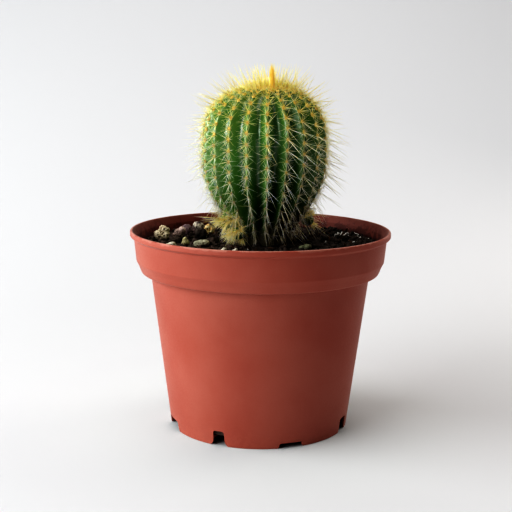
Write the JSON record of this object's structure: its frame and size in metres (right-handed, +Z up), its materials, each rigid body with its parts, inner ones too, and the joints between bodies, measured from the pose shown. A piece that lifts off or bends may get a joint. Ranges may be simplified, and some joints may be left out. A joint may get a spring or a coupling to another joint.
{
  "type": "potted round cactus",
  "caption": "Ribbed round cactus with golden spines and small offsets at its foot, growing in dark soil with loose stones in a terracotta-coloured plastic nursery pot.",
  "frame": {"origin": "middle of the pot's foot, on the surface it stands on", "axes": "+Z up along the pot's axis, -Y towards the front of the pictured view, +X to its right"},
  "size_m": [0.12, 0.12, 0.1686],
  "materials": {
    "pot_plastic": "satin terracotta-coloured moulded plastic",
    "soil": "rough crumbly potting soil",
    "cactus_flesh": "waxy green skin",
    "cactus_spines": "thin glossy golden spines and pale wool",
    "stone_pale": "rough pitted pale stone",
    "stone_dark": "rough dark purple-brown stone",
    "stone_golden": "rough golden tan stone",
    "stone_grey": "rough grey stone"
  },
  "bodies": {
    "root": {"pot": "pot_plastic", "soil": "soil", "cactus": "cactus_flesh", "stone_pumice": "stone_pale", "stone_purple_left": "stone_dark", "stone_purple_right": "stone_dark", "stone_dark_lump": "stone_dark", "stone_golden": "stone_golden", "stone_pale_small": "stone_pale", "stone_grey_long": "stone_grey", "stone_rim_bright": "stone_pale", "stone_front_large": "stone_pale", "stone_front_small": "stone_pale", "stone_right_green": "stone_grey"}
  },
  "joints": []
}
